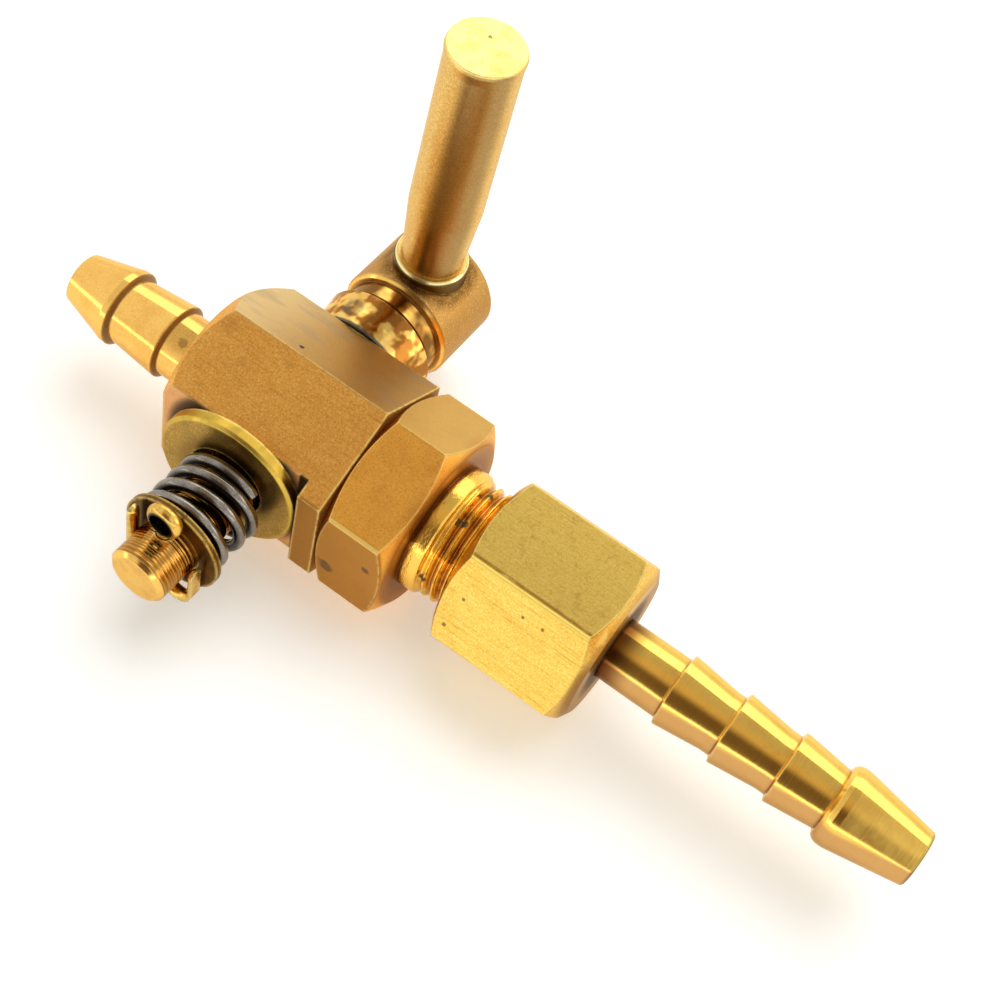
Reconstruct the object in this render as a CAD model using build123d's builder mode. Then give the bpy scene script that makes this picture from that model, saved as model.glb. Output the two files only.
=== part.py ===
"""Brass oil tap: an inline taper-plug cock with an inlet hose barb and a union hose tail.

Millimetres. +X is the direction of flow, +Y runs along the plug towards the lever, +Z is up.
The origin is on the flow axis at the first crest of the inlet barb.
"""

import os
from math import cos, radians, sin, sqrt, tan

from build123d import *

# Clearances
PLUG_CLEARANCE = 0.03
UNION_CLEARANCE = 0.04
SEAT_GAP = 0.02
OVERCUT = 1.0

# Flow line
BORE_R = 1.5
INLET_TIP_X = -4.35
INLET_TIP_R = 2.08
CREST_LAND = 0.5
CREST_1_R = 3.14
CREST_2_X = 4.6
CREST_2_R = 3.07
INLET_ROOT_R = 2.68
NUT_CHAMFER = tan(radians(30))
BODY_CHAMFER = tan(radians(45))

# Body
PLUG_X = 15.7
BODY_AF = 14.29
BODY_FACE_X = 8.4
BODY_FACE_R = 6.95
BODY_END_X = 23.2
BODY_FLAT_Y = BODY_AF / 2
BODY_CORNER_R = BODY_AF / sqrt(3)
MILLED_Y = -6.05
STEP_X = 21.25
PORT_R = 3.65
PORT_DEPTH = 2.7

# Plug
TAPER_LARGE_R = 3.95
TAPER_PER_MM = 1 / 14
TAPER_SMALL_Y = -5.7
COLLAR_Y = BODY_FLAT_Y + 0.12
COLLAR_BASE_R = 4.4
COLLAR_END_Y = 10.75
GROOVE_END_Y = 12.4
GROOVE_R = 4.15
BOSS_END_Y = 19.05
BOSS_R = 4.7625
TAIL_R = 2.3
TAIL_END_Y = -17.4
TAIL_CHAMFER = 0.3

# Handle
HANDLE_Y = 16.0
HANDLE_LEAN = 1.6
TENON_R = 1.6
TENON_Z = 0.9
RING_R = 2.92
RING_TOP_Z = 5.55
NECK_R = 2.4
GRIP_R = 2.82
GRIP_START_Z = 11.4
LIP_R = 2.9
LIP_START_Z = 25.9
HANDLE_TOP_Z = 26.9

# Spring end
WASHER_R = 5.8
WASHER_HOLE_R = 3.0
WASHER_T = 1.0
WASHER_EDGE = 0.22
WASHER_TILT = 3.0
WASHER_SHIFT_X = -0.4
WASHER_SHIFT_Z = 0.4
RETAINER_R = 4.05
RETAINER_T = 0.5
RETAINER_Y = -13.1
SPRING_WIRE_R = 0.46
SPRING_MEAN_R = 3.2
SPRING_STEPS = 12
SPRING_SIDES = 10
SPRING_END_ANGLE = 40
SPRING_END_Y = RETAINER_Y + SPRING_WIRE_R
SPRING_LENGTH = 4.64
SPRING_TURNS = [0.0, 0.4, 0.95, 1.4, 1.95, 2.4, 2.95, 3.5]
SPRING_RISE = [0.0, 0.084, 0.174, 0.415, 0.465, 0.733, 0.884, 1.0]
PIN_Y = -14.4
PIN_R = 0.54
PIN_HOLE_R = 0.6
EYE_INNER_R = 0.9
LEG_BEND_R = 1.45
LEG_BEND_Z = -2.65
SHORT_LEG_Z = -0.35
LONG_LEG_Z = 2.25

# Union
NIPPLE_HEX_END_X = 29.0
NIPPLE_FACE_R = 6.8
NIPPLE_TURN = 0.6
NIPPLE_COLLAR_R = 5.05
NIPPLE_COLLAR_END_X = 30.45
NIPPLE_THREAD_R = 4.7625
NIPPLE_END_X = 39.3
NIPPLE_SEAT_R = 3.4
NUT_AF = BODY_AF * 8 / 9
NUT_START_X = 33.0
NUT_END_X = 44.4
NUT_START_FACE_R = 0.48 * NUT_AF
NUT_END_FACE_R = 0.44 * NUT_AF
NUT_TURN = 35.2
NUT_CHAMBER_X = NIPPLE_END_X + 0.7
NUT_CHAMBER_R = 4.15
NUT_SHOULDER_X = NUT_CHAMBER_X + 1.9
STEM_R = 2.42
TAIL_FLANGE_R = 4.05
TAIL_FLANGE_X = NUT_CHAMBER_X + 0.2
TAIL_NOSE = 1.3
BARB_X = [49.4, 54.0, 58.6]
BARB_R = 2.83
BARB_CONE = 3.9
BULB_ROUND = 0.75
BULB_CREST_X = 63.8
BULB_R = 3.12
BULB_LAND = 0.5
TIP_X = 69.55
TIP_R = 2.12


def hexagon_bar(across_flats, start, end, start_face_r, end_face_r, turn, chamfer):
    """Hexagonal bar along X, turned by degrees from corners up; a face radius chamfers that end."""
    corner = across_flats / sqrt(3)
    outside = corner + OVERCUT
    with BuildSketch(Plane.YZ.offset(start)) as bar:
        RegularPolygon(radius=corner, side_count=6, rotation=90 + turn)
    extrude(to_extrude=bar.sketch, amount=end - start)
    envelope = [(start, 0)]
    if start_face_r:
        envelope += [(start, start_face_r), (start + (outside - start_face_r) * chamfer, outside)]
    else:
        envelope += [(start, outside)]
    if end_face_r:
        envelope += [(end - (outside - end_face_r) * chamfer, outside), (end, end_face_r)]
    else:
        envelope += [(end, outside)]
    turned(envelope + [(end, 0)], Plane.XZ, Axis.X, Mode.INTERSECT)


def turned(points, plane, axis, mode=Mode.ADD):
    """Adds or cuts the solid turned from a closed outline."""
    with BuildSketch(plane) as outline:
        with BuildLine():
            Polyline(*points, close=True)
        make_face()
    revolve(profiles=outline.sketch, axis=axis, mode=mode)


def taper_r(y, clearance=0.0):
    """Radius of the tapered bore at a station on the plug axis."""
    return TAPER_LARGE_R - (BODY_FLAT_Y - y) * TAPER_PER_MM - clearance


os.makedirs("parts", exist_ok=True)

PLUG_AXIS = Axis((PLUG_X, 0, 0), (0, 1, 0))
PLUG_PLANE = Plane(origin=(PLUG_X, 0, 0), x_dir=(0, 1, 0), z_dir=(-1, 0, 0))
LEAN_DIR = (sin(radians(HANDLE_LEAN)), 0, cos(radians(HANDLE_LEAN)))
HANDLE_AXIS = Axis((PLUG_X, HANDLE_Y, 0), LEAN_DIR)
HANDLE_PLANE = Plane(origin=(PLUG_X, HANDLE_Y, 0), x_dir=(0, 1, 0), z_dir=(LEAN_DIR[2], 0, -LEAN_DIR[0]))
TENON_PLANE = Plane(origin=(PLUG_X + TENON_Z * LEAN_DIR[0], HANDLE_Y, TENON_Z * LEAN_DIR[2]), z_dir=LEAN_DIR)
PORT_PLANE = Plane(origin=(PLUG_X, 0, 0), z_dir=LEAN_DIR)
TAIL_PLANE = Plane(origin=(PLUG_X, PIN_Y, 0), z_dir=(0, 0, 1))

# Body: the hexagon, the inlet barb, the milled flat, the taper bore and the two ports
with BuildPart() as body:
    hexagon_bar(BODY_AF, BODY_FACE_X, BODY_END_X, BODY_FACE_R, None, 0, BODY_CHAMFER)
    turned(
        [
            (INLET_TIP_X, 0),
            (INLET_TIP_X, INLET_TIP_R),
            (-CREST_LAND, CREST_1_R),
            (0, CREST_1_R),
            (0.25, INLET_ROOT_R),
            (CREST_2_X - 0.15, CREST_2_R),
            (CREST_2_X, CREST_2_R),
            (CREST_2_X + 0.25, INLET_ROOT_R),
            (BODY_FACE_X + 0.5, INLET_ROOT_R),
            (BODY_FACE_X + 0.5, 0),
        ],
        Plane.XZ,
        Axis.X,
    )
    with BuildSketch(Plane.XY):
        with Locations((STEP_X, MILLED_Y)):
            Rectangle(STEP_X - INLET_TIP_X, BODY_AF, align=(Align.MAX, Align.MAX))
    extrude(amount=BODY_CORNER_R + OVERCUT, both=True, mode=Mode.SUBTRACT)
    turned(
        [
            (MILLED_Y - OVERCUT, 0),
            (MILLED_Y - OVERCUT, taper_r(MILLED_Y - OVERCUT)),
            (BODY_FLAT_Y + OVERCUT, taper_r(BODY_FLAT_Y + OVERCUT)),
            (BODY_FLAT_Y + OVERCUT, 0),
        ],
        PLUG_PLANE,
        PLUG_AXIS,
        Mode.SUBTRACT,
    )
    with BuildSketch(Plane.YZ.offset(INLET_TIP_X)):
        Circle(BORE_R)
    extrude(amount=BODY_END_X - INLET_TIP_X, mode=Mode.SUBTRACT)
    with BuildSketch(Plane.YZ.offset(BODY_END_X - PORT_DEPTH)):
        Circle(PORT_R)
    extrude(amount=PORT_DEPTH, mode=Mode.SUBTRACT)
body.part.label = "body"

# Plug: taper, collar, groove, boss and tail turned in one, then drilled for flow, handle and split pin
with BuildPart() as plug:
    turned(
        [
            (TAIL_END_Y, 0),
            (TAIL_END_Y, TAIL_R - TAIL_CHAMFER),
            (TAIL_END_Y + TAIL_CHAMFER, TAIL_R),
            (TAPER_SMALL_Y, TAIL_R),
            (TAPER_SMALL_Y, taper_r(TAPER_SMALL_Y, PLUG_CLEARANCE)),
            (BODY_FLAT_Y, taper_r(BODY_FLAT_Y, PLUG_CLEARANCE)),
            (COLLAR_Y, taper_r(BODY_FLAT_Y, PLUG_CLEARANCE)),
            (COLLAR_Y, COLLAR_BASE_R),
            (COLLAR_END_Y - 0.4, BOSS_R),
            (COLLAR_END_Y, BOSS_R - 0.3),
            (COLLAR_END_Y, GROOVE_R),
            (GROOVE_END_Y, GROOVE_R),
            (GROOVE_END_Y, BOSS_R - 0.3),
            (GROOVE_END_Y + 0.3, BOSS_R),
            (BOSS_END_Y - 0.25, BOSS_R),
            (BOSS_END_Y, BOSS_R - 0.25),
            (BOSS_END_Y, 0),
        ],
        PLUG_PLANE,
        PLUG_AXIS,
    )
    with BuildSketch(PORT_PLANE):
        Circle(BORE_R)
    extrude(amount=BOSS_R, both=True, mode=Mode.SUBTRACT)
    with BuildSketch(TENON_PLANE):
        Circle(TENON_R)
    extrude(amount=BOSS_R + OVERCUT - TENON_Z, mode=Mode.SUBTRACT)
    with BuildSketch(TAIL_PLANE):
        Circle(PIN_HOLE_R)
    extrude(amount=TAIL_R + OVERCUT, both=True, mode=Mode.SUBTRACT)
plug.part.label = "plug"

# Handle: collar shaped to sit on the round boss, tenon in the boss, cone and grip
with BuildPart() as handle:
    turned(
        [
            (0, BOSS_R / 2),
            (RING_R, BOSS_R / 2),
            (RING_R, RING_TOP_Z - 0.25),
            (RING_R - 0.25, RING_TOP_Z),
            (NECK_R, RING_TOP_Z),
            (GRIP_R, GRIP_START_Z),
            (GRIP_R, LIP_START_Z),
            (LIP_R, HANDLE_TOP_Z - 0.3),
            (LIP_R - 0.12, HANDLE_TOP_Z),
            (0, HANDLE_TOP_Z),
        ],
        HANDLE_PLANE,
        HANDLE_AXIS,
    )
    with BuildSketch(Plane.XZ.offset(-HANDLE_Y)):
        with Locations((PLUG_X, 0)):
            Circle(BOSS_R + SEAT_GAP)
    extrude(amount=RING_R + OVERCUT, both=True, mode=Mode.SUBTRACT)
    with BuildSketch(TENON_PLANE.offset(0.2)):
        Circle(TENON_R - SEAT_GAP)
    extrude(amount=BOSS_R - TENON_Z)
handle.part.label = "handle"

# Thrust washer: loose on the tail, lying off centre and tilted on one edge as it does in the photograph
WASHER_DIR = (-sin(radians(WASHER_TILT)), cos(radians(WASHER_TILT)), 0)
WASHER_ORIGIN = (PLUG_X + WASHER_SHIFT_X, MILLED_Y - WASHER_R * sin(radians(WASHER_TILT)), WASHER_SHIFT_Z)
WASHER_AXIS = Axis(WASHER_ORIGIN, WASHER_DIR)
WASHER_PLANE = Plane(origin=WASHER_ORIGIN, x_dir=WASHER_DIR, z_dir=(-WASHER_DIR[1], WASHER_DIR[0], 0))
with BuildPart() as thrust_washer:
    turned(
        [
            (0, WASHER_HOLE_R),
            (0, WASHER_R),
            (WASHER_EDGE - WASHER_T, WASHER_R),
            (-WASHER_T, WASHER_R - WASHER_EDGE),
            (-WASHER_T, WASHER_HOLE_R),
        ],
        WASHER_PLANE,
        WASHER_AXIS,
    )
thrust_washer.part.label = "thrust_washer"

# Spring: uneven turns from the tilted washer to the retainer, in ten-sided wire to keep its facets few
with BuildPart() as spring:
    with BuildLine() as coil:
        points = []
        for step in range(round(SPRING_TURNS[-1] * SPRING_STEPS) + 1):
            turn = step / SPRING_STEPS
            knot = max(i for i in range(len(SPRING_TURNS) - 1) if SPRING_TURNS[i] <= turn)
            share = (turn - SPRING_TURNS[knot]) / (SPRING_TURNS[knot + 1] - SPRING_TURNS[knot])
            rise = SPRING_RISE[knot] + share * (SPRING_RISE[knot + 1] - SPRING_RISE[knot])
            angle = radians(360 * turn + SPRING_END_ANGLE)
            points.append(
                (
                    PLUG_X + SPRING_MEAN_R * cos(angle),
                    SPRING_END_Y + SPRING_LENGTH * (1 - rise),
                    SPRING_MEAN_R * sin(angle),
                )
            )
        Spline(*points)
    with BuildSketch(Plane(origin=coil.line @ 0, z_dir=coil.line % 0)):
        RegularPolygon(radius=SPRING_WIRE_R, side_count=SPRING_SIDES)
    sweep()
spring.part.label = "spring"

# Spring retainer
with BuildPart() as spring_retainer:
    turned(
        [
            (RETAINER_Y, TAIL_R + SEAT_GAP),
            (RETAINER_Y, RETAINER_R),
            (RETAINER_Y - RETAINER_T, RETAINER_R),
            (RETAINER_Y - RETAINER_T, TAIL_R + SEAT_GAP),
        ],
        PLUG_PLANE,
        PLUG_AXIS,
    )
spring_retainer.part.label = "spring_retainer"

# Split pin: an eye, the closed legs through the tail, and both legs bent up beside it
EYE_Z = TAIL_R + 0.12 + EYE_INNER_R + PIN_R
PIN_FRONT = Plane(origin=(PLUG_X, PIN_Y, 0), x_dir=(1, 0, 0), z_dir=(0, -1, 0))
with BuildPart() as split_pin:
    with BuildSketch(TAIL_PLANE.offset(LEG_BEND_Z)):
        Circle(PIN_R)
    extrude(amount=EYE_Z - EYE_INNER_R - PIN_R / 2 - LEG_BEND_Z)
    with BuildSketch(Plane(origin=(PLUG_X, PIN_Y, EYE_Z + EYE_INNER_R), x_dir=(0, 1, 0), z_dir=(1, 0, 0))):
        Circle(PIN_R)
        with Locations((0, -PIN_R)):
            Rectangle(4 * PIN_R, 2 * PIN_R, mode=Mode.SUBTRACT)
    revolve(axis=Axis((PLUG_X, PIN_Y, EYE_Z), (0, 1, 0)))
    for side, end_z in ((1, SHORT_LEG_Z), (-1, LONG_LEG_Z)):
        with BuildSketch(TAIL_PLANE.offset(LEG_BEND_Z)) as leg_section:
            Circle(PIN_R)
            with Locations((-side * PIN_R, 0)):
                Rectangle(2 * PIN_R, 4 * PIN_R, mode=Mode.SUBTRACT)
        with BuildLine(PIN_FRONT) as leg_path:
            bottom = (side * LEG_BEND_R, LEG_BEND_Z - LEG_BEND_R)
            l1 = ThreePointArc((0, LEG_BEND_Z), bottom, (side * 2 * LEG_BEND_R, LEG_BEND_Z))
            Line(l1 @ 1, (side * 2 * LEG_BEND_R, end_z))
        sweep(sections=leg_section.sketch, path=leg_path.line)
        with BuildSketch(TAIL_PLANE.offset(end_z)) as tip_section:
            with Locations((side * 2 * LEG_BEND_R, 0)):
                Circle(PIN_R)
            with Locations((side * (2 * LEG_BEND_R + PIN_R), 0)):
                Rectangle(2 * PIN_R, 4 * PIN_R, mode=Mode.SUBTRACT)
        tip_axis = Axis((PLUG_X + side * 2 * LEG_BEND_R, PIN_Y, end_z), (0, side, 0))
        revolve(profiles=tip_section.sketch, axis=tip_axis, revolution_arc=90)
split_pin.part.label = "split_pin"

# Outlet nipple
with BuildPart() as outlet_nipple:
    hexagon_bar(BODY_AF, BODY_END_X, NIPPLE_HEX_END_X, NIPPLE_FACE_R, NIPPLE_FACE_R, NIPPLE_TURN, NUT_CHAMFER)
    turned(
        [
            (BODY_END_X - PORT_DEPTH + 0.2, 0),
            (BODY_END_X - PORT_DEPTH + 0.2, PORT_R - SEAT_GAP),
            (BODY_END_X + OVERCUT, PORT_R - SEAT_GAP),
            (BODY_END_X + OVERCUT, NIPPLE_COLLAR_R),
            (NIPPLE_COLLAR_END_X - 0.4, NIPPLE_COLLAR_R),
            (NIPPLE_COLLAR_END_X - 0.1, NIPPLE_COLLAR_R - 0.12),
            (NIPPLE_COLLAR_END_X, NIPPLE_THREAD_R),
            (NIPPLE_END_X - 0.6, NIPPLE_THREAD_R),
            (NIPPLE_END_X, NIPPLE_THREAD_R - 0.6),
            (NIPPLE_END_X, 0),
        ],
        Plane.XZ,
        Axis.X,
    )
    with BuildSketch(Plane.YZ.offset(BODY_END_X - PORT_DEPTH)):
        Circle(BORE_R)
    extrude(amount=NIPPLE_END_X - BODY_END_X + PORT_DEPTH, mode=Mode.SUBTRACT)
    turned(
        [
            (NIPPLE_END_X, 0),
            (NIPPLE_END_X, NIPPLE_SEAT_R),
            (NIPPLE_END_X - NIPPLE_SEAT_R, 0),
        ],
        Plane.XZ,
        Axis.X,
        Mode.SUBTRACT,
    )
outlet_nipple.part.label = "outlet_nipple"

# Union nut
with BuildPart() as union_nut:
    hexagon_bar(NUT_AF, NUT_START_X, NUT_END_X, NUT_START_FACE_R, NUT_END_FACE_R, NUT_TURN, NUT_CHAMFER)
    turned(
        [
            (NUT_START_X, 0),
            (NUT_START_X, NIPPLE_THREAD_R + 0.5),
            (NUT_START_X + 0.5, NIPPLE_THREAD_R + UNION_CLEARANCE),
            (NUT_CHAMBER_X, NIPPLE_THREAD_R + UNION_CLEARANCE),
            (NUT_CHAMBER_X, NUT_CHAMBER_R),
            (NUT_SHOULDER_X, NUT_CHAMBER_R),
            (NUT_SHOULDER_X, STEM_R + UNION_CLEARANCE),
            (NUT_END_X, STEM_R + UNION_CLEARANCE),
            (NUT_END_X, 0),
        ],
        Plane.XZ,
        Axis.X,
        Mode.SUBTRACT,
    )
union_nut.part.label = "union_nut"

# Hose tail: seat cone and flange inside the nut, stem, three barbs and the end bulb
tail_outline = [
    (NIPPLE_END_X - TAIL_NOSE, 0),
    (NIPPLE_END_X - TAIL_NOSE, NIPPLE_SEAT_R - TAIL_NOSE - SEAT_GAP),
    (NIPPLE_END_X, NIPPLE_SEAT_R - SEAT_GAP),
    (TAIL_FLANGE_X, NIPPLE_SEAT_R - SEAT_GAP),
    (TAIL_FLANGE_X, TAIL_FLANGE_R),
    (NUT_SHOULDER_X - SEAT_GAP, TAIL_FLANGE_R),
    (NUT_SHOULDER_X - SEAT_GAP, STEM_R),
]
for crest in BARB_X:
    tail_outline += [(crest, STEM_R), (crest + 0.15, BARB_R), (crest + 0.35, BARB_R)]
    tail_outline += [(crest + BARB_CONE, STEM_R)]
for angle in (0, 30, 60):
    shoulder_x = BULB_CREST_X - BULB_LAND - BULB_ROUND * cos(radians(angle))
    tail_outline += [(shoulder_x, STEM_R + (BULB_R - STEM_R) * sin(radians(angle)))]
with BuildPart() as hose_tail:
    turned(
        tail_outline
        + [
            (BULB_CREST_X - BULB_LAND, BULB_R),
            (BULB_CREST_X, BULB_R),
            (TIP_X - 0.15, TIP_R + 0.05),
            (TIP_X, TIP_R - 0.1),
            (TIP_X, 0),
        ],
        Plane.XZ,
        Axis.X,
    )
    with BuildSketch(Plane.YZ.offset(NIPPLE_END_X - TAIL_NOSE)):
        Circle(BORE_R)
    extrude(amount=TIP_X - NIPPLE_END_X + TAIL_NOSE, mode=Mode.SUBTRACT)
hose_tail.part.label = "hose_tail"

export_step(body.part, "parts/body.step")
export_step(plug.part, "parts/plug.step")
export_step(handle.part, "parts/handle.step")
export_step(thrust_washer.part, "parts/thrust_washer.step")
export_step(spring.part, "parts/spring.step")
export_step(spring_retainer.part, "parts/spring_retainer.step")
export_step(split_pin.part, "parts/split_pin.step")
export_step(outlet_nipple.part, "parts/outlet_nipple.step")
export_step(union_nut.part, "parts/union_nut.step")
export_step(hose_tail.part, "parts/hose_tail.step")
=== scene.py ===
"""Looks of the brass oil tap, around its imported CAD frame.

Lengths are millimetres in the part's own frame, and become metres when a mesh or a camera is placed.
+X is the direction of flow, +Y runs along the plug towards the lever, +Z is up.
"""

import math

import bpy
import numpy as np
from mathutils import Matrix, Vector


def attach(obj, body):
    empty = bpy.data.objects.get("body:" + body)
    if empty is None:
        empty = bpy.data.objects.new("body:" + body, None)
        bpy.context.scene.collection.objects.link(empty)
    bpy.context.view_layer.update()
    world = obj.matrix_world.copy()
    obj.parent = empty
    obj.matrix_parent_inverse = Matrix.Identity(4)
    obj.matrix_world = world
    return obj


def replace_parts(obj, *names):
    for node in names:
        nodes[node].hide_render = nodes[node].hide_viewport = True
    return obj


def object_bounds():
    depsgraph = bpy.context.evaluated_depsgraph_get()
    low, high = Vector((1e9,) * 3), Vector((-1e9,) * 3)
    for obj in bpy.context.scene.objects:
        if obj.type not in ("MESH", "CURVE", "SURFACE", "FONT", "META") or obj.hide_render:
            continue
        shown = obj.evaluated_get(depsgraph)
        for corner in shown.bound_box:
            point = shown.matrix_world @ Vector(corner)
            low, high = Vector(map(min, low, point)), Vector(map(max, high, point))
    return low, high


MM = 0.001

# Camera, at the photograph's viewing angle
CAMERA_AT = (55.874, -64.638, 106.615)
CAMERA_RIGHT = (0.80845, 0.56103, 0.17794)
CAMERA_UP = (-0.55690, 0.63134, 0.53970)
CAMERA_LENS = 63.634
CAMERA_SENSOR = 36.0

# Places on the tap that the finishes need
PLUG_X = 15.7
BODY_FLAT_Y = 7.145
BODY_FACE_X = 8.4
BODY_END_X = 23.2
MILLED_Y = -6.05
STEP_X = 21.25
CREST_2_X = 4.6
COLLAR_END_Y = 10.75
GROOVE_END_Y = 12.4
BOSS_END_Y = 19.05
PLUG_GAP_SHADE_Y = 6.0
TAIL_START_Y = -6.0
TAIL_END_Y = -17.4
TAIL_R = 2.3
RETAINER_Y = -13.1
HANDLE_Y = 16.0
HANDLE_SLOPE = math.tan(math.radians(1.6))
RING_FOOT_Z = 3.0
RING_TOP_Z = 5.55
RING_R = 2.92
HANDLE_TOP_Z = 26.9
WASHER_X = 15.3
WASHER_Z = 0.4
WASHER_R = 5.8
PIN_EYE_Z = 3.86
PIN_EYE_R = 0.9
NUT_HALF_WIDTH = 6.351
NUT_END_X = 44.4
STEM_R = 2.42
TIP_X = 69.55

# Facings across the flow axis, as (y, z)
HEX_TOP_BACK = (0.5, 0.866)
HEX_TOP_FRONT = (-0.5, 0.866)
NUT_TOP = (-0.0906, 0.9959)
NUT_FRONT = (-0.9078, 0.4195)

# Marks, and one highlight, seen in the photograph, each as x, y, z and size
BODY_CLOUDS = ((9.99, -1.07, 7.63, 0.9), (12.3, -2.4, 6.85, 0.5), (15.3, -0.9, 7.75, 0.5))
BODY_PIT = (14.96, 0.88, 7.74, 0.25)
INLET_STAIN = (6.13, -1.2, 2.4, 0.5)
COLLAR_DARK_ARC = (13.95, 8.7, 4.4, 1.1)
HANDLE_PIP = (16.03, 16.92, 26.9, 0.2)
HEX_STAINS = ((24.38, -7.13, -1.67, 0.75), (27.59, -7.16, 1.1, 0.4))
THREAD_DARK_STAIN = (31.35, -1.45, 4.4, 0.45)
THREAD_STAINS = ((30.8, -4.6, 0.5, 0.4), (31.5, 1.7, 4.3, 0.4))
NUT_SPECKS = (
    (34.6, -5.6, 3.05, 0.176),
    (40.4, -4.9, 4.6, 0.176),
    (34.2, -6.7, 0.6, 0.2),
    (38.8, -4.9, 4.5, 0.16),
)
# Painted highlight on the nut's upper end corner
NUT_CORNER_HIGHLIGHT = (NUT_END_X - 0.4, -3.4, 5.7, 1.0)

# Outlet nipple
BORE_R = 1.5
NIPPLE_AF = 14.29
NIPPLE_FLAT = NIPPLE_AF / 2
NIPPLE_TURN = 0.6
NIPPLE_FACE_R = 6.8
SPIGOT_START_X = 20.7
SPIGOT_R = 3.63
NIPPLE_HEX_X = 23.2
NIPPLE_HEX_END_X = 29.0
NIPPLE_COLLAR_R = 5.05
NIPPLE_COLLAR_END_X = 30.45
NIPPLE_COLLAR_ROUND = 0.4
NIPPLE_COLLAR_STEPS = 7
NIPPLE_END_X = 39.3
NIPPLE_SEAT_R = 3.4
NIPPLE_CHAMFER = 0.6
THREAD_R = 4.7625
THREAD_PITCH = 25.4 / 32
THREAD_DEPTH = 0.45
THREAD_RUNOUT = 0.4
THREAD_STEP = 0.05
CHAMFER_SLOPE = math.tan(math.radians(30))
NIPPLE_RING_POINTS = 192

# Spring
SPRING_WIRE_R = 0.46
SPRING_MEAN_R = 3.2
SPRING_END_Y = -12.64
SPRING_LENGTH = 4.64
SPRING_END_ANGLE = 40
SPRING_TURNS = (0.0, 0.4, 0.95, 1.4, 1.95, 2.4, 2.95, 3.5)
SPRING_RISE = (0.0, 0.084, 0.174, 0.415, 0.465, 0.733, 0.884, 1.0)
SPRING_STEPS = 289
SPRING_WIRE_POINTS = 24

SHARP_ANGLE = math.radians(28)

# Room: what the metal shows, the paper under it and the lamp, in metres
WHITE = (1.0, 1.0, 1.0, 1.0)
BLACK = (0.0, 0.0, 0.0, 1.0)
OVERHEAD = (0.56, 0.54, 0.50, 1.0)
FRONT_CARD = (0.66, 0.53, 0.38, 1.0)
FRONT_CARD_FACING = (0.0, -0.53, 0.85)
WINDOW = (2.2, 2.2, 2.1, 1.0)
SIDE_PANEL = (2.6, 2.6, 2.4, 1.0)
SIDE_PANEL_FACING = (0.85, 0.39, 0.33)
LOW_FRONT = (2.8, 2.8, 2.6, 1.0)
VIEWER = (0.13, 0.08, 0.05, 1.0)
VIEWER_UP = (0.0, 0.85, 0.53)
PAPER = (0.90, 0.91, 0.93, 1.0)
PAPER_GLOW = (0.36, 0.34, 0.28, 1.0)
PAPER_HALF = 1.5
PAPER_FADE = (0.03, 0.3)
LAMP_AT = (0.05, 0.3, 0.74)
LAMP_SIZE = 0.8
LAMP_WATTS = 3.8


def linear(red, green, blue):
    """Linear colour of a screen colour given from 0 to 255."""
    return tuple(((c / 255 + 0.055) / 1.055) ** 2.4 for c in (red, green, blue)) + (1.0,)


class Wire:
    """An output socket of a node graph; arithmetic on it adds Math nodes."""

    def __init__(self, graph, socket):
        self.graph = graph
        self.socket = socket

    def math(self, operation, first, second):
        """A Math node on two values."""
        return self.graph.node("Math", {"operation": operation}, {0: first, 1: second})

    def __add__(self, other):
        return self.math("ADD", self, other)

    __radd__ = __add__

    def __sub__(self, other):
        return self.math("SUBTRACT", self, other)

    def __rsub__(self, other):
        return self.math("SUBTRACT", other, self)

    def __mul__(self, other):
        return self.math("MULTIPLY", self, other)

    __rmul__ = __mul__

    def __truediv__(self, other):
        return self.math("DIVIDE", self, other)

    def __rtruediv__(self, other):
        return self.math("DIVIDE", other, self)

    def __pow__(self, other):
        return self.math("POWER", self, other)

    def __abs__(self):
        return self.math("ABSOLUTE", self, 0.0)


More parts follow.
